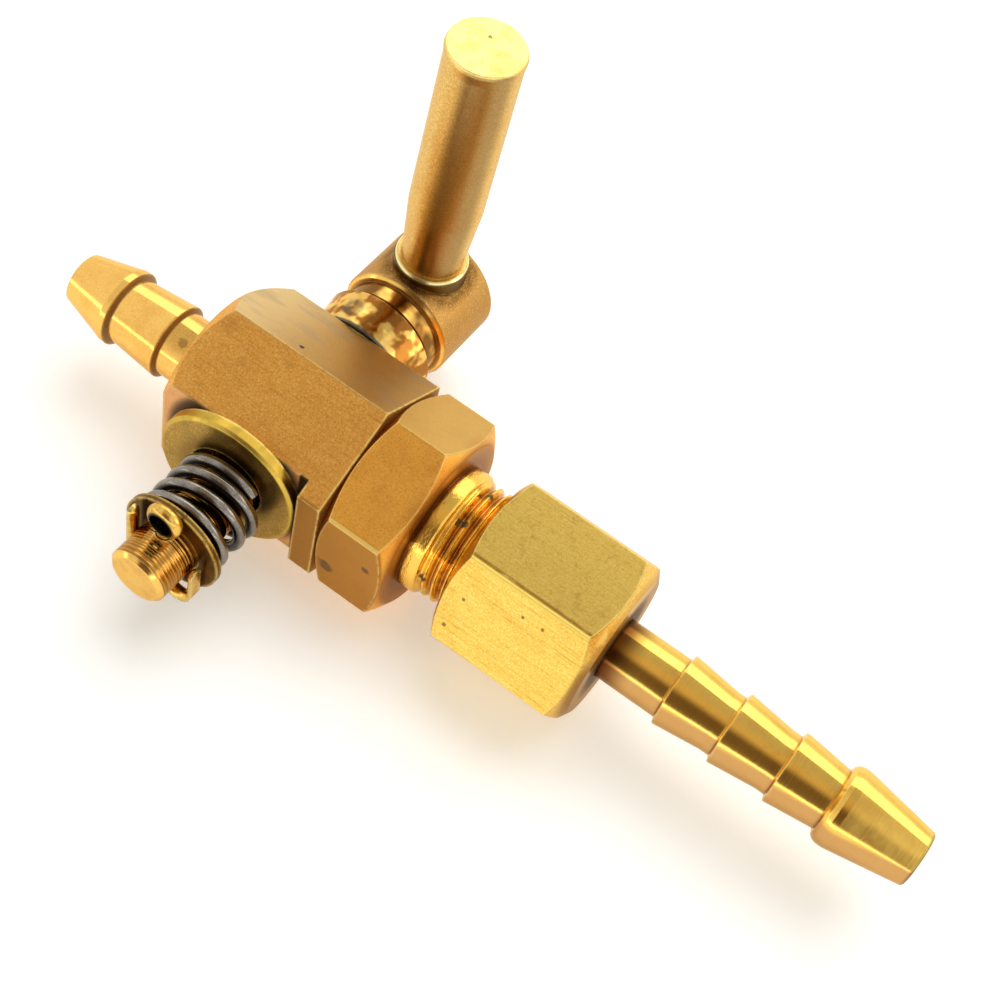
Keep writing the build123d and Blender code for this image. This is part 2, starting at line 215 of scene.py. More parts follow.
class Graph:
    """A node tree under construction, with the patterns that the finishes share."""

    def __init__(self, tree):
        self.tree = tree
        tree.nodes.clear()

    def node(self, kind, settings=None, sockets=None, output=0):
        """Adds a node with its settings and its sockets' values or links; returns an output if it has one."""
        made = self.tree.nodes.new("ShaderNode" + kind)
        for key, value in (settings or {}).items():
            setattr(made, key, value)
        for key, value in (sockets or {}).items():
            if isinstance(value, Wire):
                self.tree.links.new(value.socket, made.inputs[key])
            else:
                made.inputs[key].default_value = value
        return Wire(self, made.outputs[output]) if made.outputs else None

    def place(self):
        """Object coordinates in millimetres."""
        metres = self.node("TexCoord", output="Object")
        return self.node("VectorMath", {"operation": "SCALE"}, {0: metres, "Scale": 1 / MM})

    def axes(self, vector):
        """The three numbers of a vector."""
        return [self.node("SeparateXYZ", None, {0: vector}, axis) for axis in range(3)]

    def vector(self, x, y, z):
        """A vector of three numbers."""
        return self.node("CombineXYZ", None, {0: x, 1: y, 2: z})

    def stretch(self, vector, x, y, z):
        """A vector with each axis multiplied by its own number."""
        return self.node("VectorMath", {"operation": "MULTIPLY"}, {0: vector, 1: (x, y, z)})

    def noise(self, vector, scale, detail=3.0, roughness=0.55):
        """Cloudy noise from 0 to 1, its patches about 1 / scale across."""
        sockets = {"Vector": vector, "Scale": scale, "Detail": detail, "Roughness": roughness}
        return self.node("TexNoise", None, sockets)

    def cells(self, vector, scale):
        """Distance to the nearest of scattered points."""
        return self.node("TexVoronoi", None, {"Vector": vector, "Scale": scale})

    def rise(self, value, low, high):
        """0 below low, 1 above high, smooth between; falls instead where low is above high."""
        sockets = {"Value": value, "From Min": low, "From Max": high}
        return self.node("MapRange", {"interpolation_type": "SMOOTHSTEP"}, sockets)

    def mix(self, first, second, share):
        """Colour between two colours."""
        return self.node("Mix", {"data_type": "RGBA"}, {0: share, 6: first, 7: second}, 2)

    def larger(self, first, second):
        """The larger of two numbers."""
        return self.node("Math", {"operation": "MAXIMUM"}, {0: first, 1: second})

    def far_from(self, first, second):
        """Distance from an axis, from the two offsets across it."""
        return (first * first + second * second) ** 0.5

    def specks(self, at, scale, size):
        """Scattered round dots, 1 inside, on about half of the cells."""
        dots = self.rise(self.cells(at, scale), size, size * 0.5)
        return dots * self.rise(self.noise(at, scale * 0.23, 1.0), 0.5, 0.56)


class Metal(Graph):
    """A metal finish: colour, roughness and relief are changed step by step, then closed into a material."""

    def __init__(self, name, colour, roughness, edge=0.12):
        self.material = bpy.data.materials.new(name)
        self.material.use_nodes = True
        super().__init__(self.material.node_tree)
        self.at = self.place()
        self.x, self.y, self.z = self.axes(self.at)
        self.colour = colour
        self.roughness = roughness
        self.metallic = 1.0
        self.grazing = (0.92, 0.82, 0.68, 1.0)
        self.relief = 0.0
        self.rounded = self.node("Bevel", {"samples": 6}, {"Radius": edge * MM})

    def crowding(self, inside, reach):
        """1 where the piece's own surface crowds in within reach: outer edges when inside, else corners."""
        settings = {"samples": 8, "inside": inside, "only_local": True}
        return 1 - self.node("AmbientOcclusion", settings, {"Distance": reach * MM}, "AO")

    def out_to(self, facing):
        """Distance from the flow axis towards a facing."""
        y, z = facing
        return self.y * y + self.z * z

    def from_handle(self):
        """Distance from the handle's leaning axis."""
        return self.far_from(self.x - PLUG_X - self.z * HANDLE_SLOPE, self.y - HANDLE_Y)

    def tint(self, colour, share):
        """Moves the colour towards another by a share."""
        self.colour = self.mix(self.colour, colour, share)

    def rough(self, change):
        """Adds to the roughness."""
        self.roughness = self.roughness + change

    def raise_by(self, height):
        """Adds to the relief, in millimetres."""
        self.relief = height + self.relief

    def soil_and_shade(self, colour, share):
        """Dull dark colour over the metal by a share: real dirt where it marks stains and pits, painted shade
        where it darkens gaps, recesses and shaded faces.
        """
        self.tint(colour, share)
        self.rough(share * 0.3)
        self.metallic = self.metallic * (1 - share * 0.75)

    def between(self, value, low, high, soft):
        """1 where a value is between two limits, with soft borders."""
        return self.rise(value, low - soft, low + soft) * self.rise(value, high + soft, high - soft)

    def spot(self, x, y, z, size):
        """1 within about size of a point, with a ragged border."""
        away = self.node("VectorMath", {"operation": "DISTANCE"}, {0: self.at, 1: (x, y, z)}, 1)
        ragged = (self.noise(self.at, 1.6 / size, 3.0) - 0.5) * size
        return self.rise(away + ragged, size, size * 0.55)

    def patina(self, colour, size, share):
        """Cloudy stain, patches about size millimetres across."""
        cloud = self.rise(self.noise(self.at, 1 / size, 5.0, 0.65), 0.42, 0.68)
        self.tint(colour, cloud * share)

    def grain(self, size, pale, dark, share, height):
        """Fine satin grain of paler and darker points, size millimetres apart."""
        fine = self.noise(self.at, 1 / size, 2.0, 0.7)
        self.tint(dark, self.rise(fine, 0.5, 0.3) * share)
        self.tint(pale, self.rise(fine, 0.5, 0.7) * share)
        self.raise_by(fine * height)

    def lines(self, vector, pale, dark, share, height):
        """Fine scratch or turning lines from noise on an already stretched vector."""
        fine = self.noise(vector, 1.0, 4.0, 0.7)
        self.tint(dark, self.rise(fine, 0.5, 0.25) * share)
        self.tint(pale, self.rise(fine, 0.55, 0.8) * share)
        self.rough((fine - 0.5) * 0.2)
        self.raise_by(fine * height)

    def wear_and_highlight(self, colour, share, reach=0.3):
        """Brighter metal along the outer edges, broken up by a fine noise: partly wear, partly a painted
        highlight, as the lowered metallic lets the edges shine bright under diffuse light.
        """
        broken = self.rise(self.noise(self.at, 2.2, 3.0), 0.25, 0.55)
        edge = self.rise(self.crowding(True, reach), 0.1, 0.36) * broken * share
        self.tint(colour, edge)
        self.metallic = self.metallic * (1 - edge * 0.7)

    def corner_shade(self, colour, share, reach=0.6):
        """Painted shade, dull and dark, in the piece's own inner corners."""
        self.soil_and_shade(colour, self.rise(self.crowding(False, reach), 0.15, 0.6) * share)

    def close(self, piece):
        """Joins the steps to the shader and gives the material to the piece."""
        bump = self.node("Bump", None, {"Distance": MM, "Height": self.relief, "Normal": self.rounded})
        shader = self.node(
            "BsdfPrincipled",
            None,
            {
                "Base Color": self.colour,
                "Metallic": self.metallic,
                "Roughness": self.roughness,
                "Specular Tint": self.grazing,
                "Normal": bump,
            },
        )
        self.node("OutputMaterial", None, {"Surface": shader})
        piece.data.materials.clear()
        piece.data.materials.append(self.material)


def grid_piece(name, points, body, closed_rows):
    """Mesh object on a grid of points [row, column, xyz] in millimetres.

    Columns close on themselves; rows close too where closed_rows is true. A face joins each point
    to its neighbours in the next row and the next column.
    """
    rows, columns = points.shape[:2]
    index = np.arange(rows * columns).reshape(rows, columns)
    below = np.roll(index, -1, 0)
    beside = np.roll(index, -1, 1)
    across = np.roll(below, -1, 1)
    quads = np.stack([index, beside, across, below], -1)
    if not closed_rows:
        quads = quads[:-1]
    mesh = bpy.data.meshes.new(name)
    mesh.from_pydata((points.reshape(-1, 3) * MM).tolist(), [], quads.reshape(-1, 4).tolist())
    mesh.shade_smooth()
    mesh.set_sharp_from_angle(angle=SHARP_ANGLE)
    piece = bpy.data.objects.new(name, mesh)
    bpy.context.scene.collection.objects.link(piece)
    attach(piece, body)
    return piece


def hexagon_radius(angle, across_flats, corner_angle):
    """Distance from the axis to a hexagon's side: half the width / cosine of the angle from the flat."""
    from_flat = np.mod(angle - corner_angle, math.pi / 3) - math.pi / 6
    return across_flats / 2 / np.cos(from_flat)


def make_nipple():
    """Outlet nipple as rings round X: spigot, chamfered hexagon, collar, threaded shank, seat and bore.

    The thread's radius is THREAD_R less the depth times a smooth triangle wave of (x / pitch - angle / turn),
    which climbs to the right, and the depth grows from nothing over the runout.
    """
    corner = math.radians(90 + NIPPLE_TURN)
    angle = corner + np.linspace(0, 2 * math.pi, NIPPLE_RING_POINTS, endpoint=False)
    hexagon = hexagon_radius(angle, NIPPLE_AF, corner)
    level = np.ones_like(angle)
    chamfer = (hexagon - NIPPLE_FACE_R) * CHAMFER_SLOPE
    rows = [
        (SPIGOT_START_X * level, BORE_R * level),
        (SPIGOT_START_X * level, SPIGOT_R * level),
        (NIPPLE_HEX_X * level, SPIGOT_R * level),
        (NIPPLE_HEX_X * level, NIPPLE_FACE_R * level),
        (NIPPLE_HEX_X + chamfer, hexagon),
        (NIPPLE_HEX_END_X - chamfer, hexagon),
        (NIPPLE_HEX_END_X * level, NIPPLE_FACE_R * level),
        (NIPPLE_HEX_END_X * level, NIPPLE_COLLAR_R * level),
    ]
    for turn in np.linspace(0, math.pi / 2, NIPPLE_COLLAR_STEPS):
        x = NIPPLE_COLLAR_END_X - NIPPLE_COLLAR_ROUND * (1 - math.sin(turn))
        rows.append((x * level, (THREAD_R + (NIPPLE_COLLAR_R - THREAD_R) * math.cos(turn)) * level))
    for x in np.arange(NIPPLE_COLLAR_END_X + THREAD_STEP, NIPPLE_END_X - 0.01, THREAD_STEP):
        phase = np.mod(x / THREAD_PITCH - angle / (2 * math.pi), 1.0)
        wave = np.abs(2 * phase - 1)
        wave = wave * wave * (3 - 2 * wave)
        grown = np.clip((x - NIPPLE_COLLAR_END_X) / THREAD_RUNOUT, 0, 1)
        ceiling = THREAD_R - max(0.0, x - NIPPLE_END_X + NIPPLE_CHAMFER)
        rows.append((x * level, np.minimum(THREAD_R - THREAD_DEPTH * grown * wave, ceiling)))
    rows += [
        (NIPPLE_END_X * level, NIPPLE_SEAT_R * level),
        ((NIPPLE_END_X - NIPPLE_SEAT_R + BORE_R) * level, BORE_R * level),
    ]
    x = np.array([row[0] for row in rows])
    r = np.array([row[1] for row in rows])
    points = np.stack([x, r * np.cos(angle), r * np.sin(angle)], -1)
    piece = grid_piece("nipple_with_thread", points, "tap_body", True)
    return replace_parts(piece, "outlet_nipple")


def make_spring():
    """Compression spring: a circle carried along a helix whose rise follows SPRING_RISE, with cut ends."""
    turns = np.linspace(0, SPRING_TURNS[-1], SPRING_STEPS)
    share = np.interp(turns, SPRING_TURNS, SPRING_RISE)
    angle = 2 * math.pi * turns + math.radians(SPRING_END_ANGLE)
    middle = np.stack(
        [
            PLUG_X + SPRING_MEAN_R * np.cos(angle),
            SPRING_END_Y + SPRING_LENGTH * (1 - share),
            SPRING_MEAN_R * np.sin(angle),
        ],
        -1,
    )
    outward = np.stack([np.cos(angle), np.zeros_like(angle), np.sin(angle)], -1)
    along = np.gradient(middle, axis=0)
    along /= np.linalg.norm(along, axis=1, keepdims=True)
    side = np.cross(along, outward)
    round_wire = np.linspace(0, 2 * math.pi, SPRING_WIRE_POINTS, endpoint=False)
    ring = outward[:, None] * np.cos(round_wire)[:, None] + side[:, None] * np.sin(round_wire)[:, None]
    points = middle[:, None] + SPRING_WIRE_R * ring
    ends = [middle[:1, None] + 0 * points[:1], points, middle[-1:, None] + 0 * points[-1:]]
    piece = grid_piece("spring_wire", np.concatenate(ends), "plug_group", False)
    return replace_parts(piece, "spring")


def finish_body(piece):
    """Satin hexagon, greyer on its back flat, with a polished barb; painted shade darkens the back and front
    flats, the steps behind the crests, the end face at the nipple and the milled flat round the washer and at
    the step, where a pinkish painted reflection lies too.
    """
    metal = Metal("body_hex_brass", linear(236, 172, 80), 0.14, 0.1)
    hexagon = metal.rise(metal.x, BODY_FACE_X - 0.25, BODY_FACE_X)
    metal.rough(hexagon * 0.28)
    metal.tint(linear(250, 198, 102), (1 - hexagon) * 0.9)
    metal.patina(linear(216, 146, 62), 3.0, 0.35)
    metal.grain(0.13, linear(255, 220, 136), linear(190, 124, 46), 0.26 + hexagon * 0.3, 0.003)
    scratches = metal.stretch(metal.at, 0.35, 4.0, 4.0)
    metal.lines(scratches, linear(255, 210, 130), linear(160, 100, 38), hexagon * 0.36, 0.002)
    # Painted shade: the top back flat is darkened for its dim reflection, over a greyish tone of its own, and
    # paler towards the inlet end
    top_back = metal.rise(metal.out_to(HEX_TOP_BACK), BODY_FLAT_Y - 0.15, BODY_FLAT_Y - 0.03) * hexagon
    metal.tint(linear(176, 142, 88), top_back * 0.75)
    metal.tint(linear(228, 200, 146), top_back * metal.rise(metal.x, PLUG_X + 0.3, BODY_FACE_X + 0.6) * 0.75)
    # Painted shade on the front flat, which faces the shaded paper
    metal.tint(linear(150, 98, 40), metal.rise(metal.y, 0.3 - BODY_FLAT_Y, 0.05 - BODY_FLAT_Y) * 0.8)
    streak = metal.rise(metal.noise(metal.stretch(metal.at, 0.3, 0.8, 0.8), 1.0, 4.0), 0.46, 0.66)
    metal.tint(linear(166, 146, 118), top_back * streak * 0.4)
    on_flat = metal.rise(metal.y, MILLED_Y + 0.2, MILLED_Y + 0.05) * metal.rise(metal.x, STEP_X + 0.1, STEP_X)
    # Painted reflection: pinkish tone on the milled flat for the shaded paper it faces
    metal.tint(linear(214, 160, 122), on_flat * hexagon * 0.6)
    for mark in BODY_CLOUDS:
        metal.tint(linear(150, 104, 48), metal.spot(*mark) * 0.16)
    metal.soil_and_shade(linear(40, 34, 26), metal.spot(*BODY_PIT) * 0.9)
    metal.wear_and_highlight(linear(255, 212, 112), 1.0)
    # Painted shade on the milled flat round the washer's edge, and painted black shadow in the notch at the
    # step
    from_washer = metal.far_from(metal.x - WASHER_X, metal.z - WASHER_Z)
    round_washer = metal.rise(from_washer, WASHER_R + 0.9, WASHER_R + 0.1)
    metal.soil_and_shade(linear(48, 34, 18), round_washer * on_flat * hexagon * 0.8)
    notch = metal.between(metal.x, STEP_X - 0.7, STEP_X + 0.02, 0.1)
    metal.tint(linear(24, 14, 6), notch * on_flat * 0.95)
    # Painted shade on the end face where the nipple meets it
    metal.soil_and_shade(linear(60, 36, 14), metal.rise(metal.x, BODY_END_X - 0.06, BODY_END_X - 0.01) * 0.5)
    # Painted shade in the step just behind each crest
    for crest in (0.0, CREST_2_X):
        metal.soil_and_shade(linear(78, 46, 24), metal.between(metal.x, crest + 0.02, crest + 0.3, 0.08) * 0.75)
    metal.soil_and_shade(linear(110, 78, 40), metal.spot(*INLET_STAIN) * 0.6)
    metal.corner_shade(linear(60, 40, 22), 0.5)
    metal.close(piece)


def finish_plug(piece):
    """Polished, dented collar with painted mottled reflections, satin boss shaded under the handle, and a
    turned tail; painted shade lies in the groove, in the gap where the plug leaves the body and inside the
    spring.
    """
    metal = Metal("plug_turned_brass", linear(244, 192, 96), 0.16, 0.1)
    collar = metal.between(metal.y, BODY_FLAT_Y, COLLAR_END_Y, 0.05)
    groove = metal.between(metal.y, COLLAR_END_Y + 0.05, GROOVE_END_Y - 0.05, 0.05)
    boss = metal.rise(metal.y, GROOVE_END_Y + 0.1, GROOVE_END_Y + 0.3)
    tail = metal.rise(metal.y, TAIL_START_Y, TAIL_START_Y - 1.0)
    from_axis = metal.far_from(metal.x - PLUG_X, metal.z)
    metal.rough(boss * 0.24)
    metal.tint(linear(170, 124, 66), boss * 0.9)
    shade = metal.rise(metal.from_handle(), RING_R + 1.28, RING_R + 0.28) * boss
    shade = shade * metal.rise(metal.z, RING_FOOT_Z - 0.4, RING_FOOT_Z + 0.6)
    metal.tint(linear(76, 46, 16), shade * metal.rise(metal.y, BOSS_END_Y - 0.15, BOSS_END_Y - 0.65) * 0.85)
    metal.tint(linear(246, 196, 100), metal.rise(metal.y, TAIL_END_Y + 0.4, TAIL_END_Y + 0.2) * 0.8)
    metal.grain(0.12, linear(255, 214, 130), linear(196, 134, 60), boss * 0.4, 0.003)
    metal.patina(linear(206, 146, 70), 1.1, 0.4)
    dents = metal.noise(metal.at, 0.6, 2.0)
    metal.raise_by(dents * collar * 0.09)
    # Painted reflections: dark and pale mottle following the dents
    metal.tint(linear(140, 76, 24), metal.rise(dents, 0.42, 0.52) * collar * 0.85)
    metal.tint(linear(255, 232, 140), metal.rise(dents, 0.46, 0.34) * collar * 0.35)
    # Painted shade in the groove
    metal.tint(linear(96, 46, 14), groove * metal.rise(metal.noise(metal.at, 0.45, 2.0), 0.62, 0.44) * 0.85)
    rings = metal.vector(0.0, metal.y * 5.5, from_axis * 3.0)
    turning = metal.noise(rings, 1.0, 0.0)
    tail = tail * (1 - metal.rise(metal.y, TAIL_END_Y + 0.4, TAIL_END_Y + 0.3) * 0.85)
    metal.raise_by(turning * tail * 0.045)
    metal.tint(linear(150, 92, 30), tail * metal.rise(metal.y, TAIL_END_Y + 0.1, TAIL_END_Y + 0.4) * 0.65)
    metal.tint(linear(120, 70, 22), metal.rise(turning, 0.55, 0.42) * tail * 0.5)
    metal.wear_and_highlight(linear(255, 238, 170), 0.8)
    # Painted shade on the plug in the gap where it leaves the body
    metal.soil_and_shade(linear(50, 56, 58), metal.between(metal.y, PLUG_GAP_SHADE_Y, BODY_FLAT_Y + 0.35, 0.1) * 0.9)
    # Dull bluish-grey dark arc on the collar, broken by noise
    dark_arc = metal.spot(*COLLAR_DARK_ARC) * metal.rise(metal.noise(metal.at, 0.9, 1.0), 0.3, 0.6)
    metal.soil_and_shade(linear(84, 78, 62), dark_arc * 0.6)
    # Painted shade on the tail inside the spring
    metal.tint(linear(112, 66, 22), metal.between(metal.y, RETAINER_Y + 0.1, TAIL_START_Y, 0.2) * 0.6)
    metal.corner_shade(linear(46, 32, 18), 0.8, 0.8)
    metal.close(piece)


def finish_handle(piece):
    """Satin rod with a dark and a bright painted reflection strip along it, a ring darkened by painted shade
    with a painted highlight on its lip, and an end paled by a painted highlight with painted radial
    reflections.
    """
    metal = Metal("handle_satin_brass", linear(224, 184, 104), 0.32, 0.12)
    height = metal.z + (metal.x - PLUG_X) * HANDLE_SLOPE
    across = metal.from_handle()
    end = metal.rise(height, HANDLE_TOP_Z - 0.15, HANDLE_TOP_Z - 0.02)
    metal.patina(linear(204, 146, 72), 2.4, 0.25)
    metal.grain(0.14, linear(255, 226, 150), linear(180, 124, 56), 0.5, 0.004)
    rings = metal.vector(0.0, across * 8.0, height * 6.0)
    metal.lines(rings, linear(255, 222, 150), linear(170, 116, 52), 0.16, 0.006)
    right = (metal.x - PLUG_X - metal.z * HANDLE_SLOPE) / across
    forward = (metal.y - HANDLE_Y) / across
    spokes = metal.vector(right, forward, 0.0)
    shaft = metal.rise(height, RING_TOP_Z, RING_TOP_Z + 0.3) * (1 - end)
    # Painted reflections: a dark strip on the front right side and a bright strip on the left side
    metal.tint(linear(120, 92, 66), metal.rise(right * 0.64 - forward * 0.77, 0.68, 0.93) * shaft * 0.64)
    metal.tint(linear(255, 236, 150), metal.rise(right * -0.9 + forward * 0.1, 0.55, 0.85) * shaft * 0.5)
    # Painted shade on the ring's side
    ring = metal.between(height, RING_FOOT_Z, RING_TOP_Z - 0.1, 0.06)
    ring = ring * metal.rise(across, RING_R - 0.32, RING_R - 0.07)
    metal.tint(linear(70, 42, 16), ring * 0.9)
    # Painted highlight on the ring's lip
    ring_lip_highlight = metal.between(height, RING_TOP_Z - 0.17, RING_TOP_Z + 0.05, 0.05)
    ring_lip_highlight = ring_lip_highlight * metal.rise(across, RING_R - 0.24, RING_R - 0.12)
    metal.tint(linear(255, 250, 180), ring_lip_highlight)
    metal.rough(ring_lip_highlight * -0.2)
    # Painted highlight paling the end, then painted radial reflections like a faced end's
    metal.tint(linear(255, 238, 150), end * 0.6)
    metal.tint(linear(206, 160, 78), end * metal.rise(metal.noise(spokes, 1.6, 3.0), 0.42, 0.68) * 0.35)
    metal.tint(linear(214, 168, 88), end * metal.rise(metal.noise(metal.at, 1.4, 4.0), 0.5, 0.66) * 0.5)
    metal.soil_and_shade(linear(150, 116, 58), metal.spot(*HANDLE_PIP) * 0.7)
    metal.wear_and_highlight(linear(255, 232, 140), 0.7 - ring * 0.4)
    metal.corner_shade(linear(60, 38, 16), 0.2)
    metal.close(piece)


def finish_washer(piece):
    """Dull bronze, with painted shade under the spring and a painted highlight on its rim."""
    metal = Metal("washer_bronze", linear(174, 136, 64), 0.32, 0.14)
    metal.patina(linear(150, 122, 62), 2.0, 0.5)
    metal.grain(0.14, linear(230, 196, 110), linear(120, 94, 46), 0.45, 0.004)
    from_centre = metal.far_from(metal.x - WASHER_X, metal.z - WASHER_Z)
    # Painted shade under the spring
    metal.tint(linear(110, 84, 40), metal.rise(from_centre, WASHER_R - 1.2, WASHER_R - 2.4) * 0.6)
    # Painted highlight on the rim
    metal.tint(linear(208, 172, 68), metal.rise(from_centre, WASHER_R - 0.45, WASHER_R - 0.2) * 0.8)
    metal.tint(linear(120, 92, 36), metal.rise(metal.noise(metal.at, 0.8, 4.0), 0.5, 0.66) * 0.3)
    metal.wear_and_highlight(linear(255, 232, 140), 0.6)
    metal.close(piece)


def finish_retainer(piece):
    """Dark bronze with a bright edge."""
    metal = Metal("retainer_bronze", linear(96, 68, 30), 0.34, 0.1)
    metal.patina(linear(64, 46, 22), 1.2, 0.7)
    metal.wear_and_highlight(linear(236, 196, 100), 0.6)
    metal.close(piece)


def finish_split_pin(piece):
    """Stained brass, with painted black shade inside the eye."""
    metal = Metal("split_pin_brass", linear(232, 188, 92), 0.24, 0.08)
    metal.patina(linear(150, 108, 46), 0.8, 0.55)
    metal.wear_and_highlight(linear(255, 236, 160), 0.5)
    from_eye = metal.far_from(metal.x - PLUG_X, metal.z - PIN_EYE_Z)
    on_eye = metal.rise(metal.z, TAIL_R + 0.05, TAIL_R + 0.2)
    # Painted shade, near black, inside the eye
    metal.tint(linear(8, 5, 2), metal.rise(from_eye, PIN_EYE_R + 0.3, PIN_EYE_R + 0.1) * on_eye)
    metal.corner_shade(linear(40, 26, 10), 0.7)
    metal.close(piece)


def finish_spring(piece):
    """Grey steel wire, with painted shade on the inside of the coils."""
    metal = Metal("spring_wire_steel", linear(144, 136, 126), 0.2, 0.05)
    metal.grazing = (0.9, 0.88, 0.86, 1.0)
    metal.patina(linear(70, 60, 54), 1.2, 0.5)
    metal.grain(0.12, linear(206, 200, 192), linear(80, 72, 64), 0.25, 0.0)
    from_axis = metal.far_from(metal.x - PLUG_X, metal.z)
    # Painted shade on the inner side of the coils
    inside = metal.rise(from_axis, SPRING_MEAN_R + 0.44, SPRING_MEAN_R + 0.15)
    metal.tint(linear(44, 38, 34), inside * 0.85)
    metal.corner_shade(linear(20, 16, 12), 0.9, 0.9)
    metal.close(piece)


def finish_nipple(piece):
    """Satin hexagon like the body's, with a polished dented collar, a stained thread and dark stains. Painted
    shade darkens its back and front flats, the hexagon's right end round the collar, the thread's roots and
    the end at the body; a painted highlight runs along the upper front ridge.
    """
    metal = Metal("nipple_brass", linear(252, 184, 78), 0.4, 0.1)
    shank = metal.rise(metal.x, NIPPLE_HEX_END_X - 0.02, NIPPLE_HEX_END_X + 0.05)
    thread = metal.rise(metal.x, NIPPLE_COLLAR_END_X - 0.1, NIPPLE_COLLAR_END_X + 0.1)
    from_axis = metal.far_from(metal.y, metal.z)
    metal.rough(shank * -0.2 - thread * 0.02)
    metal.patina(linear(214, 144, 60), 2.6, 0.4)
    metal.grain(0.13, linear(255, 218, 130), linear(190, 120, 42), (1 - shank) * 0.42, 0.003)
    # Painted shade on the top back flat for its dim reflection, and on the front flat, which faces the shaded
    # paper
    top_back = metal.rise(metal.out_to(HEX_TOP_BACK), NIPPLE_FLAT - 0.2, NIPPLE_FLAT - 0.06)
    metal.tint(linear(194, 160, 92), top_back * 0.7)
    metal.tint(linear(160, 106, 46), metal.rise(metal.y, 0.3 - NIPPLE_FLAT, 0.08 - NIPPLE_FLAT) * 0.8)
    # Painted shade towards the hexagon's right end and on its end face
    hex_end = metal.rise(metal.x, NIPPLE_HEX_END_X - 1.2, NIPPLE_HEX_END_X - 0.1) * (1 - shank)
    off_corners = metal.rise(from_axis, NIPPLE_FLAT + 0.3, NIPPLE_FLAT - 0.2)
    metal.tint(linear(196, 134, 62), hex_end * off_corners * 0.7)
    face = metal.between(metal.x, NIPPLE_HEX_END_X - 0.12, NIPPLE_HEX_END_X + 0.05, 0.05)
    metal.tint(linear(150, 84, 34), face * metal.rise(from_axis, NIPPLE_FLAT, NIPPLE_FLAT - 0.4) * 0.7)
    metal.tint(linear(255, 210, 96), shank * 0.8)
    dents = metal.noise(metal.stretch(metal.at, 2.2, 1.1, 1.1), 1.0, 3.0)
    metal.raise_by(dents * shank * 0.05)
    # Painted shade in the thread's roots
    metal.tint(linear(176, 114, 58), metal.rise(from_axis, THREAD_R - 0.1, THREAD_R - 0.4) * thread * 0.8)
    metal.tint(linear(130, 78, 30), metal.rise(metal.noise(metal.at, 0.7, 4.0), 0.52, 0.66) * thread * 0.5)
    metal.tint(linear(190, 110, 36), metal.rise(dents, 0.54, 0.7) * thread * 0.4)
    metal.wear_and_highlight(linear(255, 212, 114), 1.0 - thread * 0.8)
    # Painted highlight along the upper front ridge
    upper = metal.rise(metal.out_to(HEX_TOP_FRONT), NIPPLE_FLAT - 0.24, NIPPLE_FLAT - 0.12)
    ridge_highlight = upper * metal.rise(metal.y, 0.24 - NIPPLE_FLAT, 0.12 - NIPPLE_FLAT) * (1 - shank)
    metal.tint(linear(255, 212, 114), ridge_highlight * 0.9)
    metal.metallic = metal.metallic * (1 - ridge_highlight * 0.5)
    for marks, share in ((HEX_STAINS, 0.6), ((THREAD_DARK_STAIN,), 0.95), (THREAD_STAINS, 0.9)):
        for mark in marks:
            metal.soil_and_shade(linear(58, 52, 34), metal.spot(*mark) * share)
    # Painted shade on the hexagon's end round the collar, and at the left end where the nipple meets the body
    recess = metal.between(metal.x, NIPPLE_HEX_END_X - 0.1, NIPPLE_HEX_END_X + 0.3, 0.12)
    rim = NIPPLE_FACE_R - 0.2
    metal.tint(linear(150, 92, 40), recess * metal.rise(from_axis, rim + 0.4, rim) * 0.6)
    metal.tint(linear(110, 56, 20), recess * metal.rise(from_axis, rim, rim - 1.2) * 0.7)
    metal.soil_and_shade(linear(70, 40, 16), metal.rise(metal.x, NIPPLE_HEX_X + 0.1, NIPPLE_HEX_X) * 0.5)
    metal.close(piece)


